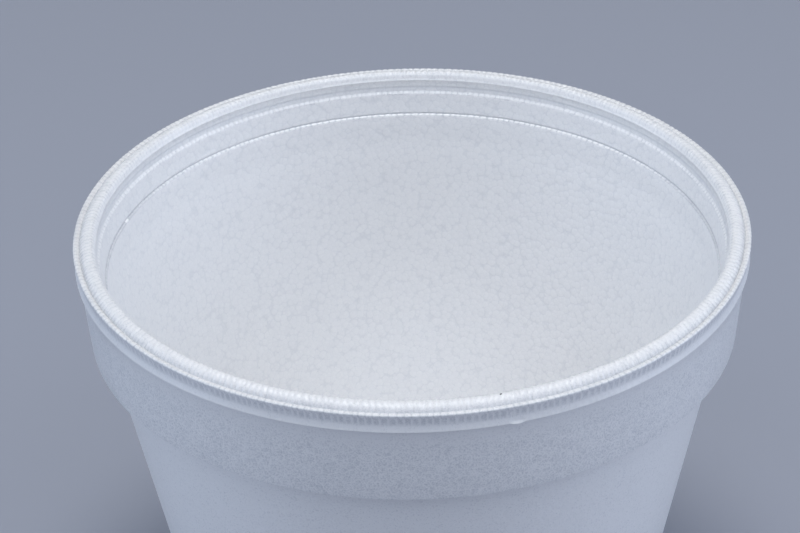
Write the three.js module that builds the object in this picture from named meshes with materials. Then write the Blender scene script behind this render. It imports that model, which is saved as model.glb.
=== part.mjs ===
import * as THREE from 'three';

// Squat foam cup, open at the top, turned about Z. Millimetres, foot ring at z = 0, +Z up.
// The section is one closed outline of corners, each with its own corner radius.

// Overall size
const CUP_HEIGHT = 78.0;
const RIM_RADIUS = 52.0;
const WALL_SLOPE = 0.2087;
const TURN_STEPS = 80;

// Crown: the bead on top of the rim, tighter inside than outside
const CROWN_INNER_RADIUS = 0.72;
const CROWN_OUTER_RADIUS = 1.70;
const CROWN_OUTER_TILT = 35 * Math.PI / 180;

// Lid ring: the small round outside the crown that a lid snaps over
const RING_DROP = 1.0;
const RING_WIDTH = 1.00;
const RING_RISE = 0.30;
const RING_ROUND = 0.3;

// Groove under the ring, and the lip that closes it below
const GROOVE_DEPTH = 0.47;
const GROOVE_HEIGHT = 1.91;
const LIP_INSET = 0.10;
const LIP_HEIGHT = 0.85;
const LIP_OVERHANG = 0.54;
const LIP_UNDERCUT = 0.14;

// Collar: the steeper sleeve that the next cup of a stack stops against
const COLLAR_HEIGHT = 12.6;
const COLLAR_SLOPE = 0.0919;
const COLLAR_EDGE_ROUND = 0.25;
const SHOULDER_DROP = 0.98;
const SHOULDER_ROUND = 0.8;

// Body and foot
const BODY_INSET = 0.98;
const FOOT_EDGE_ROUND = 1.1;
const FOOT_WIDTH = 3.6;
const FOOT_INNER_ROUND = 0.5;
const RECESS_DEPTH = 1.8;
const RECESS_DRAFT = 0.5;
const RECESS_ROUND = 1.0;
const MARK_RADIUS = 5.0;
const MARK_HEIGHT = 0.5;
const MARK_ROUND = 0.2;

// Inside of the rim: rabbet under the crown, ridge and step
const RABBET_INSET = 3.31;
const RABBET_DEPTH = 2.72;
const RIDGE_REACH = 0.50;
const RIDGE_DROP = 0.95;
const RIDGE_ROUND = 0.15;
const STEP_REACH = 0.82;
const STEP_DROP = 3.23;
const LEDGE_WIDTH = 0.36;
const LEDGE_DROP = 0.13;
const LEDGE_ROUND = 0.12;

// Inner wall: a straight neck, a soft bend, then the cone down to the floor
const WALL_THICKNESS = 2.56;
const NECK_SLOPE = 0.115;
const NECK_HEIGHT = 4.0;
const BEND_HEIGHT = 3.4;
const BEND_ROUND = 9.0;
const FLOOR_TOP = 5.0;
const FLOOR_ROUND = 4.0;

// Heights and radii that follow from the sizes above
const ringZ = CUP_HEIGHT - RING_DROP;
const grooveR = RIM_RADIUS - GROOVE_DEPTH;
const grooveZ = ringZ - GROOVE_HEIGHT;
const lipR = RIM_RADIUS - LIP_INSET;
const lipZ = grooveZ - LIP_HEIGHT;
const collarTopR = lipR - LIP_OVERHANG;
const collarTopZ = lipZ - LIP_UNDERCUT;
const collarEdgeR = collarTopR - COLLAR_SLOPE * COLLAR_HEIGHT;
const collarEdgeZ = collarTopZ - COLLAR_HEIGHT;
const shoulderZ = collarEdgeZ - SHOULDER_DROP;
const rabbetR = RIM_RADIUS - RABBET_INSET;
const rabbetZ = CUP_HEIGHT - RABBET_DEPTH;
const crownR = rabbetR + CROWN_INNER_RADIUS;
const ridgeR = rabbetR - RIDGE_REACH;
const ridgeZ = rabbetZ - RIDGE_DROP;
const stepR = ridgeR - STEP_REACH;
const stepZ = ridgeZ - STEP_DROP;
const ledgeR = stepR - LEDGE_WIDTH;
const ledgeZ = stepZ - LEDGE_DROP;
const neckZ = ledgeZ - NECK_HEIGHT;
const bendZ = neckZ - BEND_HEIGHT;

function bodyRadius(z) {
  return RIM_RADIUS - BODY_INSET + WALL_SLOPE * (z - ringZ);
}

function wallRadius(z) {
  return bodyRadius(z) - WALL_THICKNESS;
}

// A corner of the outline: radius from the axis, height, corner rounding, points on the rounding
function corner(r, z, round = 0, points = 2) {
  return { at: new THREE.Vector2(r, z), round, points };
}

// Points on an arc about a centre, angles measured from +Z towards +R
function arc(r, z, radius, from, to, steps) {
  const found = [];
  for (let i = 0; i <= steps; i += 1) {
    const a = from + (to - from) * i / steps;
    found.push(corner(r + radius * Math.sin(a), z + radius * Math.cos(a)));
  }
  return found;
}

// Replaces each rounded corner with a tangent arc between its two neighbours
function roundedOutline(corners) {
  const points = [];
  corners.forEach((c, i) => {
    if (c.round === 0) {
      points.push(c.at);
      return;
    }
    const before = corners[i - 1].at.clone().sub(c.at).normalize();
    const after = corners[i + 1].at.clone().sub(c.at).normalize();
    const half = Math.acos(before.dot(after)) / 2;
    const centre = before.clone().add(after).normalize().multiplyScalar(c.round / Math.sin(half));
    const start = before.multiplyScalar(c.round / Math.tan(half)).sub(centre);
    const end = after.multiplyScalar(c.round / Math.tan(half)).sub(centre);
    const from = start.angle();
    let sweep = end.angle() - from;
    if (sweep > Math.PI) sweep -= 2 * Math.PI;
    if (sweep < -Math.PI) sweep += 2 * Math.PI;
    for (let k = 0; k < c.points; k += 1) {
      const a = from + sweep * k / (c.points - 1);
      const spoke = new THREE.Vector2(Math.cos(a), Math.sin(a)).multiplyScalar(c.round);
      points.push(c.at.clone().add(centre).add(spoke));
    }
  });
  return points;
}

// Underside: fill mark, recess and foot ring, from the axis outwards
const footR = bodyRadius(0);
const footInnerR = footR - FOOT_WIDTH;
const underside = [
  corner(0, RECESS_DEPTH - MARK_HEIGHT),
  corner(MARK_RADIUS, RECESS_DEPTH - MARK_HEIGHT, MARK_ROUND, 2),
  corner(MARK_RADIUS, RECESS_DEPTH),
  corner(footInnerR - RECESS_DRAFT, RECESS_DEPTH, RECESS_ROUND, 4),
  corner(footInnerR, 0, FOOT_INNER_ROUND, 3),
  corner(footR, 0, FOOT_EDGE_ROUND, 5),
];

// Outside: body, shoulder, collar, lip, groove and lid ring, from the foot upwards
const outside = [
  corner(bodyRadius(shoulderZ), shoulderZ, SHOULDER_ROUND, 4),
  corner(collarEdgeR, collarEdgeZ, COLLAR_EDGE_ROUND, 3),
  corner(collarTopR, collarTopZ),
  corner(lipR, lipZ),
  corner(grooveR, grooveZ),
  corner(RIM_RADIUS, ringZ),
  corner(RIM_RADIUS - RING_RISE / 2, ringZ + RING_RISE, RING_ROUND, 3),
  corner(RIM_RADIUS - RING_WIDTH, ringZ + RING_RISE),
];

// Crown, from the outer flank over the top to the rabbet inside
const crown = [
  ...arc(crownR, CUP_HEIGHT - CROWN_OUTER_RADIUS, CROWN_OUTER_RADIUS, CROWN_OUTER_TILT, 0, 5),
  ...arc(crownR, CUP_HEIGHT - CROWN_INNER_RADIUS, CROWN_INNER_RADIUS, 0, -Math.PI / 2, 6).slice(1),
];

// Inside: rabbet, ridge, step, neck, bend, wall and floor, back to the axis
const inside = [
  corner(rabbetR, rabbetZ),
  corner(ridgeR, ridgeZ, RIDGE_ROUND, 3),
  corner(stepR, stepZ),
  corner(ledgeR, ledgeZ, LEDGE_ROUND, 3),
  corner(ledgeR - NECK_SLOPE * NECK_HEIGHT, neckZ, BEND_ROUND, 3),
  corner(wallRadius(bendZ), bendZ, BEND_ROUND, 3),
  corner(wallRadius(FLOOR_TOP), FLOOR_TOP, FLOOR_ROUND, 6),
  corner(0, FLOOR_TOP),
];

const outline = roundedOutline([...underside, ...outside, ...crown, ...inside]);

// The lathe turns about Y; the solid is stood up so that its axis is Z
const geometry = new THREE.LatheGeometry(outline, TURN_STEPS);
geometry.rotateX(Math.PI / 2);

const foam = new THREE.MeshStandardMaterial({ color: 0xe9edf3, roughness: 0.62, metalness: 0.0 });
foam.name = 'foam';

const cup = new THREE.Mesh(geometry, foam);
cup.name = 'foam_cup';

const group = new THREE.Group();
group.name = 'foam_cup_part';
group.add(cup);

export default group;
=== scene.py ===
import math
import random
from bisect import bisect

import bmesh
import bpy
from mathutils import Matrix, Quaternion, Vector


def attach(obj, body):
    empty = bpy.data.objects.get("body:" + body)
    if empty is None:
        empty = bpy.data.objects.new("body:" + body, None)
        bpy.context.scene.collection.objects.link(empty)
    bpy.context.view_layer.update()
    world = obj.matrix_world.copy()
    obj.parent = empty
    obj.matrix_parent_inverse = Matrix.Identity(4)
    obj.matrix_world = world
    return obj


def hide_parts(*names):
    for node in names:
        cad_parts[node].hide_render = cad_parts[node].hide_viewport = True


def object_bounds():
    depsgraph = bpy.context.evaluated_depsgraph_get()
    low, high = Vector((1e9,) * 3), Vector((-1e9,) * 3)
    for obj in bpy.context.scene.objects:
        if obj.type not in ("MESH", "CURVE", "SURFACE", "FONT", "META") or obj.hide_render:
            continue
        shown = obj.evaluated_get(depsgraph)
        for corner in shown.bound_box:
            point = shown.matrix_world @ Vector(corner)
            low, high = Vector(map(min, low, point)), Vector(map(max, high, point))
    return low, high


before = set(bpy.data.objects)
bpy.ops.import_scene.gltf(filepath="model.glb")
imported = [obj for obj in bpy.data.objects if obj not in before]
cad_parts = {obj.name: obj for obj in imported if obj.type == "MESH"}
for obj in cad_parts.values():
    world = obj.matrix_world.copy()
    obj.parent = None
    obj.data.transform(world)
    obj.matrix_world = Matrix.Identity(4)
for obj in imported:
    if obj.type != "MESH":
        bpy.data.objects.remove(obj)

cad_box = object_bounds()

# Viewpoint: a long lens half a metre in front of the cup, looking down into its mouth at 31 degrees.
# The rim fills the frame from side to side and the foot lies below its lower edge.
eye = Vector((0.0, -0.41972, 0.32611))
aim = Vector((-0.00194, 0.0, 0.06999))
tilt = Quaternion((0, 0, 1), math.radians(-1.361))
sight = (aim - eye).to_track_quat("-Z", "Y") @ tilt
bpy.ops.object.camera_add(location=eye, rotation=sight.to_euler())
camera = bpy.context.object
camera.name = "viewpoint"
camera.data.lens = 142.9
bpy.context.scene.camera = camera

# Moulded cup: one moulding of white bead foam, shaped between an inner and an outer mould. It stands on
# its foot ring. Half of its section is a chain of corners, which is rounded and then spun about Z.
# Sizes are in millimetres. At the rim they run inwards from the lid ring and down from the crown.
mm = 0.001
rim_radius = cad_box[1][0] / mm
cup_height = cad_box[1][2] / mm
foot_radius = 34.95
foot_width = 3.6
recess_depth = 1.8
fill_mark_height = 1.3
floor_top = 5.0


def rim_corner(inwards, down, cut=0.0, facets=0):
    return rim_radius - inwards, cup_height - down, cut, facets


# The crown is two arcs that meet at its top, and lean runs in degrees from there to the outside.
crown_middle = 2.59
crown_drop = 0.01
crown_outer_round = 1.70
crown_inner_round = 0.72


def crown_point(round_size, lean):
    turn = math.radians(lean)
    inwards = crown_middle - round_size * math.sin(turn)
    return rim_corner(inwards, crown_drop + round_size * (1 - math.cos(turn)))


# Each corner is radius, height, how far its rounding cuts it back, and the facets of the rounding.
underside = [
    (0.0, fill_mark_height, 0.0, 0),
    (5.0, fill_mark_height, 0.15, 2),
    (5.05, recess_depth, 0.10, 2),
    (foot_radius - foot_width - 0.5, recess_depth, 0.75, 3),
    (foot_radius - foot_width, 0.0, 0.38, 3),
]
body = [
    (foot_radius, 0.0, 0.90, 4),
    rim_corner(4.42, 17.50, 0.45, 3),
]
collar = [
    rim_corner(1.80, 16.52, 0.15, 3),
    rim_corner(0.64, 3.90, 0.05, 1),
]
lip = [
    rim_corner(0.10, 3.76, 0.06, 2),
    rim_corner(0.19, 3.55),
    rim_corner(0.28, 3.34),
    rim_corner(0.47, 2.91, 0.10, 1),
]
lid_ring = [
    rim_corner(0.01, 1.00, 0.07, 2),
    rim_corner(0.13, 0.79, 0.10, 2),
    rim_corner(0.50, 0.71, 0.08, 1),
    rim_corner(0.82, 0.87, 0.08, 1),
    rim_corner(1.00, 1.16, 0.06, 1),
]
crown = [crown_point(crown_outer_round, lean) for lean in range(63, -1, -9)]
crown += [crown_point(crown_inner_round, lean) for lean in range(-18, -73, -18)]
rabbet = [
    rim_corner(3.36, 0.88),
    rim_corner(3.43, 1.20),
    rim_corner(3.56, 1.32),
    rim_corner(3.45, 1.42),
    rim_corner(3.53, 2.14),
    rim_corner(3.54, 2.28),
    rim_corner(3.38, 2.52, 0.05, 1),
    rim_corner(3.58, 2.78),
]
ridge = [
    rim_corner(3.57, 3.18, 0.05, 1),
    rim_corner(3.97, 3.46, 0.08, 2),
    rim_corner(4.00, 3.95),
]
step = [
    rim_corner(4.57, 6.60),
    rim_corner(4.60, 6.72),
    rim_corner(4.48, 6.86),
    rim_corner(4.56, 6.96),
    rim_corner(4.88, 7.06, 0.14, 3),
    rim_corner(4.93, 7.40),
]
inner_wall = [
    rim_corner(5.45, 11.03, 0.70, 3),
    rim_corner(6.34, 14.43, 0.70, 3),
    (33.43, floor_top, 2.60, 6),
    (0.0, floor_top, 0.0, 0),
]
corners = underside + body + collar + lip + lid_ring + crown + rabbet + ridge + step + inner_wall

bpy.ops.object.select_all(action="DESELECT")
bpy.ops.mesh.primitive_plane_add(size=mm)
cup = bpy.context.object
cup.name = "moulded_cup"
bpy.ops.object.mode_set(mode="EDIT")
bpy.ops.mesh.select_all(action="SELECT")
bpy.ops.mesh.merge(type="CENTER")
bpy.ops.transform.translate(value=(corners[0][0] * mm, 0, corners[0][1] * mm))
for here, there in zip(corners, corners[1:]):
    reach = ((there[0] - here[0]) * mm, 0, (there[1] - here[1]) * mm)
    bpy.ops.mesh.extrude_vertices_move(TRANSFORM_OT_translate={"value": reach})

# The corners that share one rounding are rounded together.
same_place = 0.001
same_edge = 1e-7
roundings = sorted({(cut, facets) for radius, height, cut, facets in corners if cut})
for cut, facets in roundings:
    rounded = [place[:2] for place in corners if place[2:] == (cut, facets)]
    chain = bmesh.from_edit_mesh(cup.data)
    for vertex in chain.verts:
        x, z = vertex.co.x / mm, vertex.co.z / mm
        vertex.select = any(math.hypot(x - radius, z - height) < same_place for radius, height in rounded)
    bmesh.update_edit_mesh(cup.data)
    bpy.ops.mesh.bevel(offset=cut * mm, segments=facets, affect="VERTICES")


def from_rim(point):
    return rim_radius - point.xy.length / mm, cup_height - point.z / mm


# Single beads show outside from the lip up to the crown, and inside on the crown, ridge and step.
def beads_show(point):
    inwards, down = from_rim(point)
    if inwards > 3.2:
        return down < 1.0 or 3.1 < down < 3.85 or 6.9 < down < 7.3
    return down < 3.85


# The long straight stretches are divided, finely where single beads show and coarsely elsewhere.
fine_length = 0.8
coarse_length = 6.0
most_cuts = 40
chain = bmesh.from_edit_mesh(cup.data)
stretches = {}
for edge in chain.edges:
    start, end = (vertex.co.copy() for vertex in edge.verts)
    longest = fine_length if beads_show((start + end) / 2) else coarse_length
    cuts = min(most_cuts, int(edge.calc_length() / mm / longest))
    if cuts:
        stretches.setdefault(cuts, []).append((start, end))
for cuts, group in stretches.items():
    chain = bmesh.from_edit_mesh(cup.data)
    for vertex in chain.verts:
        vertex.select = False
    for edge in chain.edges:
        a, b = (vertex.co for vertex in edge.verts)
        gaps = [min((a - p).length + (b - q).length, (a - q).length + (b - p).length) for p, q in group]
        edge.select_set(min(gaps) < same_edge)
    bmesh.update_edit_mesh(cup.data)
    bpy.ops.mesh.subdivide(number_cuts=cuts)

# The chain is spun in about one step for each bead round the rim. Where single beads show, its rings
# are then divided five times as fine.
beads_round = 320
fine_cuts = 4
level_within = 1e-6
bpy.ops.mesh.select_all(action="SELECT")
bpy.ops.mesh.spin(steps=beads_round, angle=2 * math.pi, center=(0, 0, 0), axis=(0, 0, 1))
bpy.ops.mesh.select_all(action="SELECT")
bpy.ops.mesh.remove_doubles(threshold=2e-6)
bpy.ops.mesh.normals_make_consistent(inside=False)
turned = bmesh.from_edit_mesh(cup.data)
for edge in turned.edges:
    a, b = (vertex.co for vertex in edge.verts)
    level = abs(a.z - b.z) < level_within and abs(a.xy.length - b.xy.length) < level_within
    edge.select_set(level and beads_show(a))
bmesh.update_edit_mesh(cup.data)
bpy.ops.mesh.subdivide(number_cuts=fine_cuts)
bpy.ops.object.mode_set(mode="OBJECT")
bpy.ops.object.shade_smooth()


# Beads: the foam is made of beads about a millimetre across, pressed together in the mould.
# Round the rim they lie in rows, one bead wide, and each bead swells a little between its neighbours.
def bead_row(pitch, spread, seed):
    pick = random.Random(seed)
    count = round(2 * math.pi * (rim_radius - 1) / pitch)
    widths = [pick.uniform(pitch - spread, pitch + spread) for bead in range(count)]
    joints = [0.0]
    for width in widths:
        joints.append(joints[-1] + width * 2 * math.pi / sum(widths))
    swell = [pick.uniform(0.65, 1.0) for width in widths]
    return joints, swell


# How near a place in a row lies to a seam, from 0 in the middle of a bead to 1, and the bead's swell
def seam(row, angle):
    joints, swell = row
    bead = min(bisect(joints, angle), len(joints) - 1) - 1
    across = (angle - joints[bead]) / (joints[bead + 1] - joints[bead])
    return abs(2 * across - 1), swell[bead]


# 1 at the middle, falling to 0 at the reach to either side
def near(value, middle, reach):
    return max(0.0, 1 - abs(value - middle) / reach)


# 0 up to the start, rising to 1 at the end
def over(value, start, end):
    return min(1.0, max(0.0, (value - start) / (end - start)))


crown_beads = [bead_row(pitch=0.90, spread=0.26, seed=seed) for seed in (3, 4, 6)]
ring_beads = bead_row(pitch=1.02, spread=0.20, seed=5)
ridge_beads = bead_row(pitch=0.98, spread=0.16, seed=8)
step_beads = bead_row(pitch=1.10, spread=0.25, seed=13)


# Painted highlight: the ridge and the step are painted whitest on the far side of the cup.
def far_side_highlight(angle):
    return over(math.sin(angle), 0.30, 0.75)


# Each of these gives how far a place belongs to a bead row, how pale (+) or dark (-) it is painted, for
# its seams and for painted light and shade, and how deep it lies below the top of the bead, in
# millimetres.
def on_lid_ring(inwards, angle):
    across, swell = seam(ring_beads, angle)
    pale = 0.25 - 0.9 * over(across, 0.64, 1.0)
    return 1.0, pale, 0.11 * swell * across ** 2.2 * over(inwards, 1.0, 0.6)


def in_lid_groove(down, angle):
    across, swell = seam(ring_beads, angle)
    foot = over(down, 2.65, 3.0)
    pale = 1.4 * max(foot, over(across, 0.60, 1.0)) - 0.28
    return 1.0, pale, 0.08 * (1 - max(foot, across ** 3))


def on_lip(angle):
    across, swell = seam(ring_beads, angle)
    # The lip is painted paler as a painted highlight on its upward-facing face, and its seams paler
    # still.
    return 0.6, 0.65 + 0.3 * over(across, 0.80, 1.0), 0.04 * swell * across ** 2


def on_crown(inwards, angle):
    row = 0 if inwards > 2.65 else 1 if inwards > 1.65 else 2
    across, swell = seam(crown_beads[row], angle)
    # Painted shade: the cove between the crown and the lid ring and the inner edge of the crown are
    # painted darker, and the seams between beads are painted darker towards the left and right of the
    # cup.
    cove_painted_shade = 1.3 * near(inwards, 1.02, 0.50)
    inner_edge_painted_shade = 0.6 * near(inwards, 2.96, 0.18)
    strength = 0.35 + 0.65 * abs(math.cos(angle)) ** 3
    pale = 0.15 - strength * over(across, 0.62, 1.0) - cove_painted_shade - inner_edge_painted_shade
    fade = over(inwards, 3.45, 3.05) * over(inwards, 0.9, 1.2)
    return 1.0, pale, 0.20 * swell * across ** 2 * fade


def on_ridge(down, angle):
    across, swell = seam(ridge_beads, angle)
    edge = near(down, 3.45, 0.45)
    # The ridge is painted paler on the far side as a painted highlight, and the notch above it is painted
    # darker as painted shade.
    notch_painted_shade = near(down, 2.52, 0.35)
    pale = edge * (0.2 + 0.4 * far_side_highlight(angle) - 1.4 * over(across, 0.60, 1.0)) - notch_painted_shade
    return edge, pale, 0.18 * swell * across ** 2 * edge


def on_step(angle):
    across, swell = seam(step_beads, angle)
    # The step is painted white on the far side as a painted highlight, and dark elsewhere as painted
    # shade.
    pale = far_side_highlight(angle) * (1.5 - 1.5 * over(across, 0.55, 1.0)) - 1.2
    return 0.8, pale, 0.14 * swell * across ** 2


# The rows by their place in the section. The last one is a line of painted shade in the corner above the
# step.
def bead_relief(inwards, down, angle):
    if inwards < 0.95 and down < 1.15:
        return on_lid_ring(inwards, angle)
    if inwards < 0.7 and down < 3.0:
        return in_lid_groove(down, angle)
    if inwards < 0.7 and down < 3.95:
        return on_lip(angle)
    if inwards < 3.4 and down < (1.3 if inwards < 1.5 else 0.95):
        return on_crown(inwards, angle)
    if inwards > 3.15 and down < 4.0:
        return on_ridge(down, angle)
    if inwards > 4.54 and 6.92 < down < 7.25:
        return on_step(angle)
    if inwards > 4.4 and 6.80 < down < 6.90:
        return 0.0, -0.8, 0.0
    return 0.0, 0.0, 0.0


# Flecks seen in the photograph: a raised one on the lip with a hollow above it, and one on the step.
# Each has its turn in degrees, height down from the crown, half its length, half its height, and how
# deep it is sunk, which is below zero where it stands out.
flecks = [
    (286.0, 3.34, 1.2, 0.15, 0.16),
    (286.0, 3.55, 1.1, 0.12, 0.12),
    (286.0, 3.73, 1.1, 0.13, -0.26),
    (285.46, 2.25, 0.5, 0.40, 0.15),
    (162.6, 7.00, 0.5, 0.45, -0.12),
]
rim_width = 5.0


# Half way through the wall: what lies outside of it is the outer face.
def wall_middle(down):
    rim_part = 8.0
    wall_slope = 0.2087
    return 0.8 if down < rim_part else 2.26 + wall_slope * (down - 1)


outer_face = cup.data.attributes.new("outer_face", "FLOAT", "POINT")
rim_bead = cup.data.attributes.new("rim_bead", "FLOAT", "POINT")
seams_and_painted_light = cup.data.attributes.new("seams_and_painted_light", "FLOAT", "POINT")
depths = []
for vertex in cup.data.vertices:
    inwards, down = from_rim(vertex.co)
    angle = math.atan2(vertex.co.y, vertex.co.x) % (2 * math.pi)
    middle = wall_middle(down)
    belongs, pale, depth = bead_relief(inwards, down, angle)
    for degrees, height, half_length, half_height, sink in flecks:
        along = (angle - math.radians(degrees)) * (rim_radius - inwards)
        away = math.hypot(along / half_length, (height - down) / half_height)
        if away < 1 and inwards < rim_width:
            # The flecks are painted white; on the raised chip of the lip this white is also a painted
            # highlight.
            pale = max(pale, 1 - away ** 2)
            depth += sink * (1 - away ** 2)
    outer_face.data[vertex.index].value = over(inwards, middle + 0.25, middle - 0.25)
    rim_bead.data[vertex.index].value = belongs
    seams_and_painted_light.data[vertex.index].value = pale
    depths.append(depth * mm)
hollows = [vertex.co - vertex.normal * depth for vertex, depth in zip(cup.data.vertices, depths)]
cup.data.vertices.foreach_set("co", [value for point in hollows for value in point])
cup.data.update()

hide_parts("foam_cup")
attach(cup, "root")


# Foam: white beads with a slight sheen. A socket of its shader is wrapped, so that sums and products
# of sockets are written as such, and node() adds any other node.
class Foam:
    def __init__(self, tree, socket=None):
        self.tree = tree
        self.socket = socket

    def node(self, kind, settings, sockets, output=0):
        made = self.tree.nodes.new(kind)
        for name, value in settings.items():
            setattr(made, name, value)
        for name, value in sockets.items():
            if isinstance(value, Foam):
                self.tree.links.new(value.socket, made.inputs[name])
            else:
                made.inputs[name].default_value = value
        return Foam(self.tree, made.outputs[output] if made.outputs else None)

    def maths(self, operation, first, second):
        return self.node("ShaderNodeMath", {"operation": operation}, {0: first, 1: second})

    def __add__(self, other):
        return self.maths("ADD", self, other)

    def __sub__(self, other):
        return self.maths("SUBTRACT", self, other)

    def __rsub__(self, other):
        return self.maths("SUBTRACT", other, self)

    def __mul__(self, other):
        return self.maths("MULTIPLY", self, other)

    def band(self, low, high, start=0.0, end=1.0):
        sockets = {"Value": self, "From Min": low, "From Max": high, "To Min": start, "To Max": end}
        return self.node("ShaderNodeMapRange", {"interpolation_type": "SMOOTHSTEP"}, sockets)

    def tint(self, first, second):
        sockets = {"Factor": self, "A": first, "B": second}
        return self.node("ShaderNodeMix", {"data_type": "RGBA"}, sockets, 2)


foam = bpy.data.materials.new("bead_foam")
foam.use_nodes = True
foam.node_tree.nodes.clear()
start = Foam(foam.node_tree)
place = start.node("ShaderNodeTexCoord", {}, {}, "Object")
outer = start.node("ShaderNodeAttribute", {"attribute_name": "outer_face"}, {}, "Fac")
rim = start.node("ShaderNodeAttribute", {"attribute_name": "rim_bead"}, {}, "Fac")
pale = start.node("ShaderNodeAttribute", {"attribute_name": "seams_and_painted_light"}, {}, "Fac")
inner = 1 - outer
wall = 1 - rim

# The beads of the wall are cells just under a millimetre wide. Finer noise gives their skin its grain,
# and coarser noise a faint cloudiness.
beads = {"Vector": place, "Scale": 1050.0}
from_middle = start.node("ShaderNodeTexVoronoi", {"feature": "F1"}, beads, "Distance")
bead_colour = Foam(start.tree, from_middle.socket.node.outputs["Color"])
bead_tone = start.node("ShaderNodeSeparateColor", {}, {"Color": bead_colour}, "Red")
to_seam = start.node("ShaderNodeTexVoronoi", {"feature": "DISTANCE_TO_EDGE"}, beads, "Distance")
fine = {"Vector": place, "Scale": 4200.0, "Detail": 1.0, "Roughness": 0.6}
coarse = {"Vector": place, "Scale": 110.0, "Detail": 2.0, "Roughness": 0.5}
grain = start.node("ShaderNodeTexNoise", {}, fine, "Fac")
cloud = start.node("ShaderNodeTexNoise", {}, coarse, "Fac")
seam_line = to_seam.band(0.0, 0.11, 1.0, 0.0) * wall

# Marks seen in the photograph: small dull pits in the inner wall, and one dark speck on the crown.
pit_places = [
    (5.31, 42.87, 51.78), (16.16, 37.13, 38.81), (-3.83, 43.14, 52.34), (-19.82, 39.74, 57.57),
    (-9.42, 39.48, 39.29), (-25.75, 33.08, 45.68), (35.25, 25.77, 54.01), (13.85, 43.38, 62.96),
    (-26.50, 31.75, 42.97), (-18.30, 36.36, 39.86), (-24.93, 32.41, 40.72), (-28.25, 29.25, 39.63),
]
speck_place = (12.03, -47.95, 77.95)


def distance_to(spot):
    middle = tuple(value * mm for value in spot)
    return start.node("ShaderNodeVectorMath", {"operation": "DISTANCE"}, {0: place, 1: middle}, "Value")


# The pits and the corners between the cells are painted darker as painted shade.
pit_painted_shade = from_middle.band(0.60, 0.74) * wall * inner
for spot in pit_places:
    pit_painted_shade = pit_painted_shade + distance_to(spot).band(0.2 * mm, 0.8 * mm, 1.2, 0.0)
speck = distance_to(speck_place).band(0.12 * mm, 0.24 * mm, 1.0, 0.0)

# Tone: inside, pale beads in darker seams; outside, darker beads in fine pale seams and a coarser grain.
# The outer face is painted darker than the inner one as painted shade, and its seams paler as painted
# light coming through the wall. The thin body lets some of the light inside the cup through, so its outer
# face is painted a shade paler than the collar, as painted light.
height = start.node("ShaderNodeSeparateXYZ", {}, {"Vector": place}, "Z")
body_painted_glow = height.band(60.5 * mm, 60.0 * mm) * outer
tone = outer * -0.18 + body_painted_glow * 0.40 + rim * 0.12 + 0.76
tone = tone + (bead_tone - 0.5) * 0.2
tone = tone + (grain - 0.5) * (outer * (rim * -1.2 + 1.4) + 0.9)
tone = tone + (cloud - 0.5) * 0.12
tone = tone + seam_line * (outer * 0.62 - 0.27)
tone = tone + pale * 0.6 - pit_painted_shade * 0.32
inner_seam = (0.86, 0.868, 0.885, 1.0)
outer_painted_shade = (0.70, 0.715, 0.74, 1.0)
rim_seam = (0.62, 0.635, 0.665, 1.0)
bead_white = (0.985, 0.985, 0.985, 1.0)
speck_black = (0.03, 0.03, 0.035, 1.0)
dark = rim.tint(outer.tint(inner_seam, outer_painted_shade), rim_seam)
colour = speck.tint(tone.tint(dark, bead_white), speck_black)

dome = (1 - from_middle * from_middle) * wall
bump = start.node("ShaderNodeBump", {}, {"Height": dome, "Strength": 0.6, "Distance": 0.08 * mm})
finish = {"Base Color": colour, "Roughness": 0.28, "Normal": bump, "IOR": 1.45}
shader = start.node("ShaderNodeBsdfPrincipled", {}, finish)
start.node("ShaderNodeOutputMaterial", {}, {"Surface": shader})
cup.data.materials.clear()
cup.data.materials.append(foam)

# Table top: a plain pale blue-grey sheet of paper, far wider than the picture.
bpy.ops.mesh.primitive_plane_add(size=8.0, location=(0, 0, 0))
table = bpy.context.object
table.name = "table_top"
paper = bpy.data.materials.new("pale_paper")
paper.use_nodes = True
skin = paper.node_tree.nodes["Principled BSDF"]
skin.inputs["Base Color"].default_value = (0.392, 0.415, 0.482, 1.0)
skin.inputs["Roughness"].default_value = 0.9
skin.inputs["Specular IOR Level"].default_value = 0.1
table.data.materials.append(paper)


# Light: a soft warm lamp straight above, which makes the inside the brightest part, bluer lamps at the
# left and the right, and a wide one high up behind the camera. The near side lies in soft shade.
def soft_lamp(name, place, aim, size, power, colour):
    bpy.ops.object.light_add(type="AREA", location=place)
    lamp = bpy.context.object
    lamp.name = name
    lamp.data.shape = "RECTANGLE"
    lamp.data.size, lamp.data.size_y = size
    lamp.data.energy = power
    lamp.data.color = colour
    lamp.rotation_euler = (Vector(place) - Vector(aim)).to_track_quat("Z", "Y").to_euler()


foot_middle = (0, 0, 0)
cup_middle = (0, 0, 0.06)
soft_lamp("top_lamp", (0, 0.02, 1.15), foot_middle, (0.45, 0.45), power=5.8, colour=(1.0, 0.995, 0.98))
soft_lamp("left_lamp", (-1.1, -0.1, 0.40), cup_middle, (1.0, 0.7), power=4.9, colour=(0.68, 0.80, 1.0))
soft_lamp("right_lamp", (1.1, -0.1, 0.40), cup_middle, (1.0, 0.7), power=5.9, colour=(0.73, 0.82, 1.0))
soft_lamp("front_lamp", (0, -0.85, 1.25), cup_middle, (1.8, 1.2), power=8.6, colour=(0.78, 0.85, 1.0))

world = bpy.data.worlds.new("studio")
bpy.context.scene.world = world
world.use_nodes = True
world.node_tree.nodes["Background"].inputs["Color"].default_value = (0.01, 0.011, 0.013, 1.0)
world.node_tree.nodes["Background"].inputs["Strength"].default_value = 1.0

bpy.context.scene.view_settings.view_transform = "Standard"
